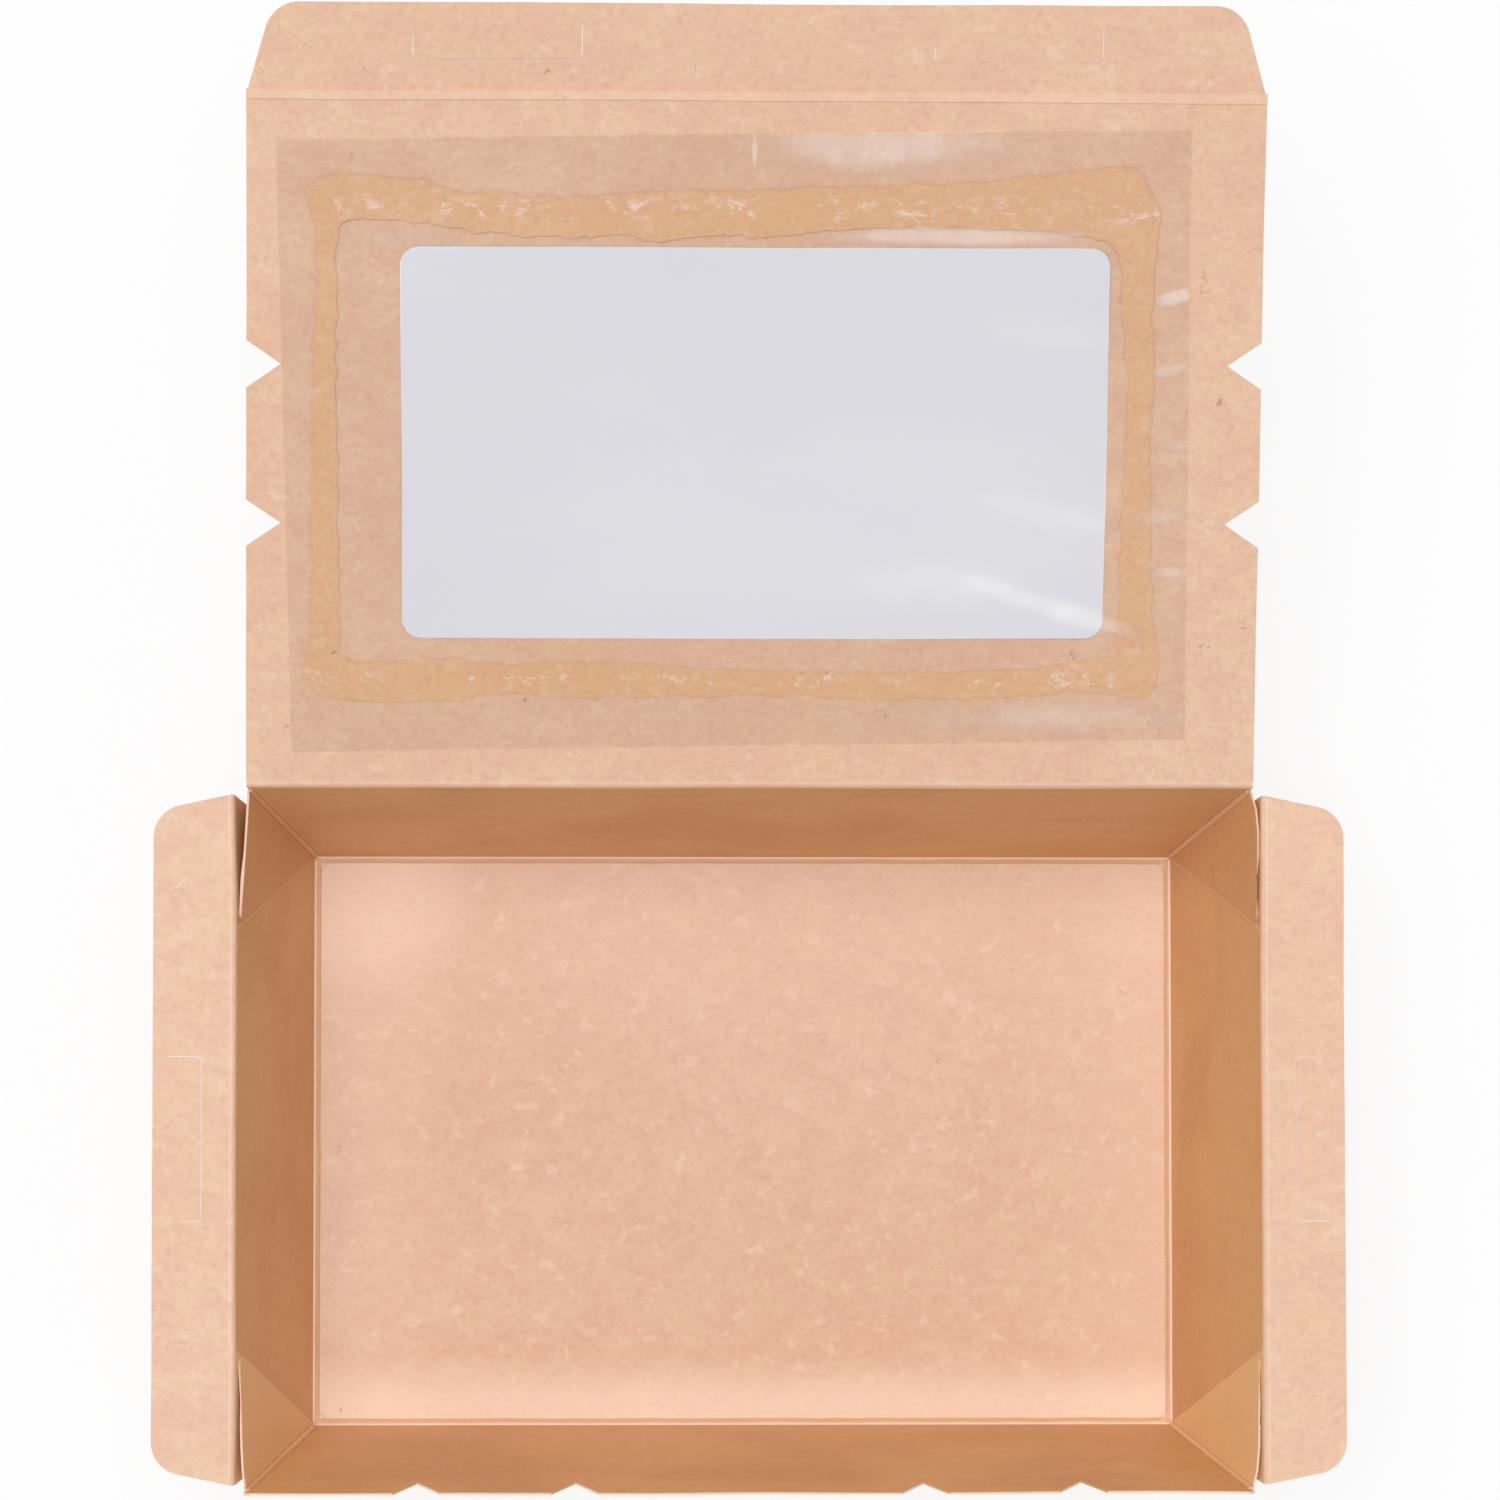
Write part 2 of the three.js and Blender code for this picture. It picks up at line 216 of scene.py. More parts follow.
class ShaderGraph:
    """The node tree of a material or of the world."""

    def __init__(self, owner: bpy.types.ID, output: str = "ShaderNodeOutputMaterial") -> None:
        """Empties the tree and gives it an output.

        Args:
            owner: The material or the world.
            output: The output node's type.
        """
        owner.use_nodes = True
        self.owner = owner
        self.tree = owner.node_tree
        self.tree.nodes.clear()
        self.output = self.tree.nodes.new(output)

    def node(
        self, kind: str, settings: dict | None = None, inputs: dict | None = None, output: int | str = 0
    ) -> Signal:
        """Adds any node.

        Args:
            kind: The node's type.
            settings: Its settings.
            inputs: Values or signals by the socket's number or name.
            output: The socket that is returned.

        Returns:
            The value of that output.
        """
        made = self.tree.nodes.new(kind)
        for key, value in (settings or {}).items():
            setattr(made, key, value)
        for key, value in (inputs or {}).items():
            socket = made.inputs[key]
            if isinstance(value, Signal):
                self.tree.links.new(value.socket, socket)
            else:
                socket.default_value = value
        return Signal(self, made.outputs[output])

    def mix(self, share: Signal | float, first: Signal | Colour, second: Signal | Colour) -> Signal:
        """The first colour, with a share of the second laid over it."""
        inputs = dict(zip(MIX_INPUTS, (share, first, second)))
        return self.node("ShaderNodeMix", {"data_type": "RGBA"}, inputs, MIX_OUTPUT)

    def vector(self, operation: str, first: Signal, second: Triple, output: int | str = 0) -> Signal:
        """One Vector Math node with this operation on a signal and three numbers."""
        return self.node("ShaderNodeVectorMath", {"operation": operation}, {0: first, 1: second}, output)

    def place(self, stretch: Triple = (1, 1, 1), turn: float = 0.0) -> Signal:
        """The point on the object in metres, for a pattern that may be drawn out.

        Args:
            stretch: How many times finer the pattern is along X, Y and Z.
            turn: How far it is turned about Z, in radians.

        Returns:
            The point.
        """
        point = self.node("ShaderNodeTexCoord", output="Object")
        if stretch == (1, 1, 1) and turn == 0:
            return point
        inputs = {"Vector": point, "Rotation": (0, 0, turn), "Scale": stretch}
        return self.node("ShaderNodeMapping", None, inputs)

    def split(self) -> Place:
        """The point's X, Y and Z."""
        point = self.place()
        return Place(*(self.node("ShaderNodeSeparateXYZ", None, {0: point}, axis) for axis in range(3)))

    def bump(self, height: Signal, depth: float, strength: float) -> Signal:
        """A normal that is tilted by a height, with depth in metres."""
        values = {"Strength": strength, "Distance": depth, "Height": height}
        return self.node("ShaderNodeBump", None, values, "Normal")

    def finish(self, shader: Signal) -> bpy.types.ID:
        """Links the shader to the output and returns the tree's owner."""
        self.tree.links.new(shader.socket, self.output.inputs["Surface"])
        return self.owner


class Place(NamedTuple):
    """Where a point of the object is, along each axis in metres."""

    x: Signal
    y: Signal
    z: Signal


@dataclass(frozen=True)
class Grain:
    """A noise that something is patterned by: its waves to the metre, its marks and how strongly it shows."""

    scale: float
    detail: float = 3.0
    roughness: float = 0.5
    bend: float = 0.0
    low: float = 0.0
    high: float = 1.0
    share: float = 1.0
    stretch: Triple = (1, 1, 1)
    turn: float = 0.0

    def read(self, graph: ShaderGraph) -> Signal:
        """The noise itself, about its middle."""
        values = {
            "Vector": graph.place(self.stretch, self.turn),
            "Scale": self.scale,
            "Detail": self.detail,
            "Roughness": self.roughness,
            "Distortion": self.bend,
        }
        return graph.node("ShaderNodeTexNoise", None, values)

    def patches(self, graph: ShaderGraph) -> Signal:
        """0 up to the noise's low mark, its share from the high mark on, and smooth between."""
        return self.read(graph).between(self.low, self.high) * self.share

    def contours(self, graph: ShaderGraph) -> Signal:
        """1 on the thin lines where the noise is within its high mark of its middle."""
        return abs(self.read(graph) - NOISE_MIDDLE) < self.high

    def swing(self, graph: ShaderGraph) -> Signal:
        """The noise about 0, as high as its share."""
        return (self.read(graph) - NOISE_MIDDLE) * self.share


@dataclass
class Paint:
    """A finish's colour as it is built up, and the nodes that it is built of."""

    graph: ShaderGraph
    colour: Signal | Colour

    def lay(self, share: Signal | float, tone: Colour) -> None:
        """Lays a share of another tone over the colour."""
        self.colour = self.graph.mix(share, self.colour, tone)


@dataclass(frozen=True)
class Band:
    """A band beside a line: its share, and how many metres from the line it ends and starts."""

    share: float
    end: Span
    start: Span | None = None

    def over(self, away: Signal) -> Signal:
        """The band's share at a distance from the line."""
        inside = away.fading(*self.end)
        return (away.between(*self.start) * inside if self.start else inside) * self.share


# Finishes


@dataclass(frozen=True)
class KraftFinish:
    """Kraft card with a smooth, faintly shiny food side: cloudy, fibrous, with a few dark fibres."""

    name: str
    board: Colour = srgb(240, 201, 170)
    pink: Colour = srgb(232, 187, 161)
    tan: Colour = srgb(227, 181, 146)
    speck: Colour = srgb(208, 158, 124)
    edge: Colour = srgb(248, 219, 192)
    fibre: Colour = srgb(150, 104, 72)
    painted_highlight: float = 0.0
    clouds: Grain = Grain(17, 3, 0.5, 0.3, 0.34, 0.66, 0.4)
    patches: Grain = Grain(115, 5, 0.62, 0.3, 0.36, 0.64, 0.72, (1, 1.35, 1.35))
    glints: Grain = Grain(260, 3, 0.6, 0.4, 0.54, 0.72, 0.34, (1, 1.2, 1.2), 0.4)
    fleck: Grain = Grain(700, 4, 0.72, 0.0, 0.4, 0.7, 0.34, (1, 1.15, 1.15))
    curls: Grain = Grain(330, 2, 0.5, 1.4, high=0.012)
    breaks: Grain = Grain(420, 1, low=0.5, high=0.62, share=0.8, turn=0.9)
    long_strands: Grain = Grain(210, 3, 0.6, 1.2, 0.58, 0.72, 0.5, (1, 4.5, 4), 0.12)
    hairs: Grain = Grain(620, 0, 0.5, 0.4, high=0.022)
    hair_spots: Grain = Grain(210, 0)
    grain: Grain = Grain(1900, 3, 0.65)
    hair_rarity: float = 0.815
    strand_share: float = 0.26
    hair_share: float = 0.42
    roughness: Span = (0.4, 0.26)
    gloss: float = 0.45
    strand_height: float = 0.5
    relief: float = 0.07 * MM
    relief_strength: float = 0.6

    def build(self) -> bpy.types.Material:
        """Makes the card's material."""
        graph = ShaderGraph(bpy.data.materials.new(self.name))
        paint = Paint(graph, self.board)
        paint.lay(self.clouds.patches(graph), self.tan)
        paint.lay(self.patches.patches(graph), self.pink)
        paint.lay(self.glints.patches(graph), self.edge)
        paint.lay(self.fleck.patches(graph), self.speck)
        # Painted highlight: the whole card made lighter, as on the fold strips.
        if self.painted_highlight:
            paint.lay(self.painted_highlight, self.edge)
        self.regions(paint)
        strands = self.curls.contours(graph) * self.breaks.patches(graph) + self.long_strands.patches(graph)
        hairs = self.hairs.contours(graph) * (self.hair_spots.read(graph) > self.hair_rarity)
        paint.lay(strands * self.strand_share, self.edge)
        paint.lay(hairs * self.hair_share, self.fibre)
        grain = self.grain.read(graph)
        smoothest, rougher = self.roughness
        height = strands * self.strand_height + grain
        values = {
            "Base Color": paint.colour,
            "Roughness": smoothest + grain * rougher,
            "Specular IOR Level": self.gloss,
            "Normal": graph.bump(height, self.relief, self.relief_strength),
        }
        return graph.finish(graph.node("ShaderNodeBsdfPrincipled", None, values))

    def regions(self, paint: Paint) -> None:
        """Lays the tones of a panel's own parts. Plain card has none."""


@dataclass(frozen=True)
class TrayFinish(KraftFinish):
    """The tray's card: steep walls browner with painted shade, creases in painted highlight and shade, a
    painted sheen on the floor.
    """

    board: Colour = srgb(229, 190, 162)
    pink: Colour = srgb(223, 177, 151)
    tan: Colour = srgb(218, 172, 139)
    speck: Colour = srgb(202, 152, 118)
    # Painted shade of the steep inner walls.
    wall_shade: Colour = srgb(219, 163, 99)
    # Darker tone: painted shade on the back glue flaps, and random darker patches on the inner walls.
    dark_patch_and_shade: Colour = srgb(190, 128, 80)
    # Painted light on the front glue flaps.
    front_flap_light: Colour = srgb(240, 194, 138)
    # Pale tone: painted highlight of the corner creases, and the line along the glue flaps' cut.
    crease: Colour = srgb(236, 192, 158)
    # Painted shade in the floor crease's groove.
    golden_shade: Colour = srgb(216, 160, 100)
    # Painted shade of the creases' dark lines.
    groove: Colour = srgb(196, 138, 88)
    # Painted sheen of the floor, and painted highlight on the floor crease's ridge.
    sheen: Colour = srgb(250, 220, 197)
    fold: TrayFold = TrayFold()
    wall_start: Span = mm(0.75, 1.2)
    wall_shade_share: float = 0.8
    # Darker patches at random on the inner walls.
    wall_patches: Grain = Grain(26, 2, 0.5, 0.4, 0.4, 0.68, 0.3, (1, 1, 1.8))
    flap_margins: Span = mm(0.5, 0.3)
    flap_edge: Span = mm(-0.1, 0.2)
    back_flap_shade_share: float = 0.3
    front_flap_light_share: float = 0.7
    cut_middle: float = 0.15 * MM
    cut: Band = Band(0.5, mm(0.2, 0.42))
    # Where and how strongly the floor's painted sheen lies.
    front_sheen: Span = (0.74, 0.93)
    front_sheen_share: float = 0.6
    corner_sheen: Span = (-0.9, 0.9)
    corner_sheen_narrowing: Span = (9, 5)
    corner_sheen_share: float = 0.3
    end_sheen: Span = (0.6, 1.0)
    end_sheen_share: float = 0.24
    back_sheen_share: float = 0.25
    # Painted highlight and painted shadow beside each corner crease.
    corner_highlight: Band = Band(0.55, mm(0.45, 0.8))
    corner_shadow: Band = Band(0.5, mm(0.95, 1.25), mm(0.7, 0.85))
    crease_wander: Grain = Grain(90, 2, share=0.35 * MM)
    crease_top: Span = mm(0.9, 1.6)
    # The floor crease: painted highlight on its ridge, painted shade in its groove and along its inner line.
    ridge_highlight: Band = Band(0.75, mm(0.4, 0.6))
    hollow_shade: Band = Band(0.6, mm(1.2, 1.5), mm(0.4, 0.6))
    inner_shade_line: Band = Band(0.3, mm(1.3, 1.45), mm(1.1, 1.2))

    def regions(self, paint: Paint) -> None:
        """Lays the walls' painted shade, the glue flaps, the creases and the floor's painted sheen.

        Args:
            paint: The board's tone.
        """
        place = paint.graph.split()
        inner = paint.graph.node("ShaderNodeAttribute", {"attribute_name": SHADED_SIDE}, output="Fac")
        steep = place.z.between(*self.wall_start) * inner
        level = 1.0 - steep
        # Painted sheen on the floor.
        paint.lay(self._painted_sheen(place) * level, self.sheen)
        # Painted shade on the steep inner walls.
        paint.lay(steep * self.wall_shade_share, self.wall_shade)
        paint.lay(self.wall_patches.patches(paint.graph) * steep, self.dark_patch_and_shade)
        self._glue_flaps(paint, place, steep)
        self._corner_creases(paint, place)
        self._floor_creases(paint, place, level)

    def _glue_flaps(self, paint: Paint, place: Place, steep: Signal) -> None:
        """Lays the glue flaps: painted shade at the back, painted light in front, with a pale line along the
        cut.

        Args:
            paint: The tone so far.
            place: The point.
            steep: 1 on the inside of the walls.
        """
        foot, rim = Vector(self.fold.corner_foot), Vector(self.fold.corner_rim)
        lean = (rim - foot) / (rim.z - foot.z)
        corner_x = place.z * lean.x + foot.x
        corner_y = place.z * lean.y + foot.y
        margin_x, margin_y = self.flap_margins
        at_end = steep * (abs(place.x) > corner_x - margin_x) * (abs(place.y) < corner_y - margin_y)
        past_cut = abs(place.y) + place.z * self.fold.cut_slope - self.fold.half_floor[1]
        flap = past_cut.between(*self.flap_edge) * at_end
        back = place.y > 0.0
        cut = self.cut.over(abs(past_cut - self.cut_middle))
        # Painted shade on the back flaps and painted light on the front ones.
        paint.lay(flap * back * self.back_flap_shade_share, self.dark_patch_and_shade)
        paint.lay(flap * (1.0 - back) * self.front_flap_light_share, self.front_flap_light)
        paint.lay(cut * at_end, self.crease)

    def _painted_sheen(self, place: Place) -> Signal:
        """How much painted sheen the floor gets: along the front, in the back left corner and a little all
        round.

        Args:
            place: The point.

        Returns:
            The share of painted sheen.
        """
        reach_x, reach_y = self.fold.half_floor
        over_x, over_y = place.x * (1 / reach_x), place.y * (1 / reach_y)
        front = (-1.0 * over_y).between(*self.front_sheen) * self.front_sheen_share
        off_x, off_y = (over - middle for over, middle in zip((over_x, over_y), self.corner_sheen))
        narrow_x, narrow_y = self.corner_sheen_narrowing
        away = off_x * off_x * narrow_x + off_y * off_y * narrow_y
        corner = away.fading(0.0, 1.0) * self.corner_sheen_share
        ends = abs(over_x).between(*self.end_sheen) * self.end_sheen_share
        return front + corner + ends + over_y.between(0.0, 1.0) * self.back_sheen_share

    def _corner_creases(self, paint: Paint, place: Place) -> None:
        """Lays a pale line of painted highlight up each corner crease, with a dark line of painted shadow
        beside it.

        Args:
            paint: The tone so far.
            place: The point.
        """
        graph = paint.graph
        folded = graph.node("ShaderNodeCombineXYZ", None, {0: abs(place.x), 1: abs(place.y), 2: place.z})
        foot = Vector(self.fold.corner_foot)
        up = (Vector(self.fold.corner_rim) - foot).normalized()
        cross = graph.vector("CROSS_PRODUCT", graph.vector("SUBTRACT", folded, tuple(foot)), tuple(up))
        away = graph.vector("LENGTH", cross, (0, 0, 0), "Value")
        # Painted shadow and painted highlight along the corner crease.
        paint.lay(self.corner_shadow.over(away), self.groove)
        paint.lay(self.corner_highlight.over(away), self.crease)

    def _floor_creases(self, paint: Paint, place: Place, level: Signal) -> None:
        """Lays the floor's crease: a painted highlight on the ridge at the wall, a golden groove and a thin
        inner line of painted shade.

        Args:
            paint: The tone so far.
            place: The point.
            level: 1 off the inside of the walls.
        """
        half_x, half_y = self.fold.half_floor
        wander = self.crease_wander.swing(paint.graph)
        inset = (half_x - abs(place.x)).least(half_y - abs(place.y)) + wander
        low = place.z.fading(*self.crease_top) * level
        # Painted highlight and shade of the floor crease.
        paint.lay(self.ridge_highlight.over(inset) * low, self.sheen)
        paint.lay(self.hollow_shade.over(inset) * low, self.golden_shade)
        paint.lay(self.inner_shade_line.over(inset) * low, self.groove)


@dataclass(frozen=True)
class LidPlace:
    """Turns a point of the open lid into the lid's own millimetres."""

    tilt: float = 0.0
    hinge_y: float = 0.0

    def read(self, graph: ShaderGraph) -> tuple[Signal, Signal]:
        """How far across the lid and how far along it from its hinge a point lies."""
        place = graph.split()
        return place.x * (1 / MM), (place.y - self.hinge_y) * (1 / (MM * math.cos(self.tilt)))


@dataclass(frozen=True)
class FilmGlare:
    """A patch of painted highlight and reflection where the film stands off the card and catches the light,
    in the lid's own millimetres.
    """

    across: float
    along: float
    half_length: float
    half_depth: float
    strength: float
    slant: float = 0.0


@dataclass(frozen=True)
class FilmFinish:
    """Thin clear film: faint where it lies on the card, darker and cool over the window as painted shade,
    with painted highlights where it lifts.
    """

    lid: LidPlace
    name: str = "clear_film"
    on_card: Colour = srgb(170, 140, 120)
    # Painted shade: the film is darker over the window, for the shaded table seen through it.
    window_shade: Colour = srgb(86, 92, 150)
    window_half: Span = (69.7, 39.75)
    window_centre: float = 70.35
    window_radius: float = 3.8
    card_alpha: float = 0.05
    window_shade_alpha: float = 0.146
    # How strongly the painted highlights and reflections show on the film.
    glare_alpha: float = 0.36
    glare_whiteness: float = 3.0
    window_glare_whiteness: float = 1.35
    window_glare_thinning: float = 0.85
    glare_edge: Span = (-0.4, 1.5)
    uneven: Grain = Grain(110, 3, share=1.1)
    bands: Grain = Grain(16, 2, 0.5, 0.6, share=0.03, stretch=(1, 3.2, 1), turn=0.7)
    roughness: Span = (0.08, 0.08)
    refraction: float = 1.49
    relief: float = 1.2 * MM
    relief_strength: float = 0.5
    # Patches of painted highlight and reflection on the film.
    glares: tuple[FilmGlare, ...] = (
        FilmGlare(24, 130.5, 34, 7, 0.42), FilmGlare(40, 133.6, 40, 0.45, 0.9, 0.0145),
        FilmGlare(38, 112.4, 34, 2.6, 0.6), FilmGlare(-69, 111.5, 18, 3, 0.2),
        FilmGlare(83, 100.5, 5.5, 2.2, 0.75, 0.2), FilmGlare(83, 85.9, 7, 2, 0.36, 0.2),
        FilmGlare(84, 70.6, 6, 2, 0.32, 0.05), FilmGlare(81, 56, 8, 2.2, 0.26, 0.15),
        FilmGlare(83, 44.5, 7, 2, 0.36, 0.05), FilmGlare(60, 37, 22, 3.2, 0.5, -0.32),
        FilmGlare(34, 42, 24, 6, 0.2, -0.05), FilmGlare(60, 56, 22, 4.5, 0.22, -0.2),
        FilmGlare(60, 93, 20, 4.5, 0.15, -0.1), FilmGlare(-0.6, 129, 0.8, 6, 0.4),
        FilmGlare(60, 14.5, 46, 4.5, 0.3), FilmGlare(-30, 17, 50, 2.5, 0.1),
    )

    def build(self) -> bpy.types.Material:
        """Makes the film's material."""
        graph = ShaderGraph(bpy.data.materials.new(self.name))
        across, along = self.lid.read(graph)
        inside = self._inside_window(across, along)
        glare = self._glare(across, along)
        whiteness = self.glare_whiteness - inside * (self.glare_whiteness - self.window_glare_whiteness)
        # Painted shade over the window.
        colour = graph.mix(inside, self.on_card, self.window_shade)
        # Painted highlight and reflection, laid as white.
        colour = graph.mix(glare * whiteness, colour, WHITE)
        bands = self.bands.read(graph)
        smoothest, rougher = self.roughness
        clear = inside * (self.window_shade_alpha - self.card_alpha) + self.card_alpha
        glare_cover = glare * (1.0 - inside * self.window_glare_thinning) * self.glare_alpha
        values = {
            "Base Color": colour,
            "Roughness": smoothest + bands * rougher,
            "IOR": self.refraction,
            "Alpha": clear + glare_cover + self.bands.swing(graph),
            "Normal": graph.bump(bands, self.relief, self.relief_strength),
        }
        return graph.finish(graph.node("ShaderNodeBsdfPrincipled", None, values))

    def _inside_window(self, across: Signal, along: Signal) -> Signal:
        """Where the film lies over the window's rounded rectangle.

        Args:
            across: How far across the lid the point lies.
            along: How far along the lid it lies.

        Returns:
            1 over the window and 0 over the card.
        """
        half_x, half_y = self.window_half
        over_x = (abs(across) - (half_x - self.window_radius)).greatest(0.0)
        over_y = (abs(along - self.window_centre) - (half_y - self.window_radius)).greatest(0.0)
        return (over_x * over_x + over_y * over_y) < self.window_radius**2

    def _glare(self, across: Signal, along: Signal) -> Signal:
        """All the patches of painted highlight and reflection together, with soft uneven edges.

        Args:
            across: How far across the lid the point lies.
            along: How far along the lid it lies.

        Returns:
            The strength of the painted highlight and reflection.
        """
        uneven = self.uneven.swing(across.graph)
        total = 0.0
        for patch in self.glares:
            away = across - patch.across
            level = (along - patch.along - away * patch.slant) * (1 / patch.half_depth)
            away = away * (1 / patch.half_length)
            inside = (away * away + level * level + uneven).fading(*self.glare_edge)
            total = inside * inside * patch.strength + total
        return total


@dataclass(frozen=True)
class GlueFinish(KraftFinish):
    """Dried glue, clear enough to show the card's clouds, tinted amber, with small pale bubbles."""

    board: Colour = srgb(238, 191, 148)
    pink: Colour = srgb(234, 184, 140)
    tan: Colour = srgb(230, 178, 130)
    bubble: Colour = srgb(246, 218, 200)
    lid: LidPlace = LidPlace()
    far_middle: float = 117.6
    far_reach: Span = (0.8, 3.4)
    near_middle: float = 22.0
    near_reach: Span = (0.5, 2.8)
    near_share: float = 0.8
    side_share: float = 0.14
    streaks: Grain = Grain(340, 4, 0.7, 0.5, 0.52, 0.64, 0.9, (1, 1.8, 1.8))
    clusters: Grain = Grain(75, 2, low=0.43, high=0.55, stretch=(1, 1.4, 1.4))

    def regions(self, paint: Paint) -> None:
        """Lays clusters of pale bubbles, drawn out along X.

        Args:
            paint: The glue's tone.
        """
        along = self.lid.read(paint.graph)[1]
        far = abs(along - self.far_middle).fading(*self.far_reach)
        near = abs(along - self.near_middle).fading(*self.near_reach)
        bubbles = self.streaks.patches(paint.graph) * self.clusters.patches(paint.graph)
        paint.lay(bubbles * (far + near * self.near_share + self.side_share), self.bubble)


@dataclass(frozen=True)
class StudioFinish:
    """The pale floor: white to the eye and to shiny surfaces, with the object's shadow left on it."""

    name: str = "studio_floor"
    off_white: Colour = (0.93, 0.93, 0.94, 1.0)
    shown_white: float = 0.82

    def build(self) -> bpy.types.Material:
        """Makes the floor's material."""
        graph = ShaderGraph(bpy.data.materials.new(self.name))
        rays = ("Is Camera Ray", "Is Glossy Ray", "Is Transmission Ray")
        seen, mirrored, through = (graph.node("ShaderNodeLightPath", output=ray) for ray in rays)
        shown = seen.greatest(mirrored.greatest(through))
        matte = graph.node("ShaderNodeBsdfDiffuse", None, {"Color": self.off_white})
        glow = graph.node("ShaderNodeEmission", None, {"Color": WHITE, "Strength": 1.0})
        share = shown * self.shown_white
        return graph.finish(graph.node("ShaderNodeMixShader", None, {0: share, 1: matte, 2: glow}))


# Modelling helpers


def activate(piece: bpy.types.Object) -> None:
    """Makes a piece the only selected and active one."""
    bpy.ops.object.select_all(action="DESELECT")
    piece.select_set(True)
    bpy.context.view_layer.objects.active = piece


@contextmanager
def editing(piece: bpy.types.Object) -> Iterator[None]:
    """Opens a piece in edit mode with all of it selected.

    Args:
        piece: The piece.

    Yields:
        Nothing.
    """
    activate(piece)
    bpy.ops.object.mode_set(mode="EDIT")
    bpy.ops.mesh.select_mode(type="VERT")
    bpy.ops.mesh.select_all(action="SELECT")
    yield
    bpy.ops.object.mode_set(mode="OBJECT")


def set_in_place(piece: bpy.types.Object, matrix: Matrix) -> None:
    """Moves a piece that was modelled flat to its place, and puts that place in its mesh."""
    activate(piece)
    piece.matrix_world = matrix @ piece.matrix_world
    bpy.ops.object.transform_apply(location=True, rotation=True, scale=True)


def add_modifier(piece: bpy.types.Object, kind: str, **settings: object) -> None:
    """Adds a modifier and applies it.

    Args:
        piece: The piece.
        kind: The modifier's type.
        settings: Its settings.
    """
    activate(piece)
    modifier = piece.modifiers.new(kind.lower(), kind)
    for key, value in settings.items():
        setattr(modifier, key, value)
    bpy.ops.object.modifier_apply(modifier=modifier.name)


def shade(piece: bpy.types.Object) -> None:
    """Shades a piece smooth, with its sharper creases kept."""
    activate(piece)
    bpy.ops.object.shade_smooth_by_angle(angle=SMOOTH_ANGLE)


def add_grid(name: str, steps: tuple[int, int]) -> bpy.types.Object:
    """Adds a flat grid that reaches 1 to each side of the origin.

    Args:
        name: The piece's name.
        steps: How many cells it has along X and Y.

    Returns:
        The piece.
    """
    bpy.ops.object.select_all(action="DESELECT")
    bpy.ops.mesh.primitive_grid_add(x_subdivisions=steps[0], y_subdivisions=steps[1], size=2)
    bpy.context.active_object.name = name
    return bpy.context.active_object


@dataclass
class Hinge:
    """One fold of the box, read from the frame: its place and what it joins."""

    name: str
    parent: str
    child: str
    place: Vector

    @classmethod
    def read(cls, record: dict, name: str) -> Hinge:
        """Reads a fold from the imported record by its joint's name."""
        joint = next(each for each in record["behaviour"]["joints"] if each["name"] == name)
        return cls(name, joint["parent"], joint["child"], Vector(joint["pos_m"]))


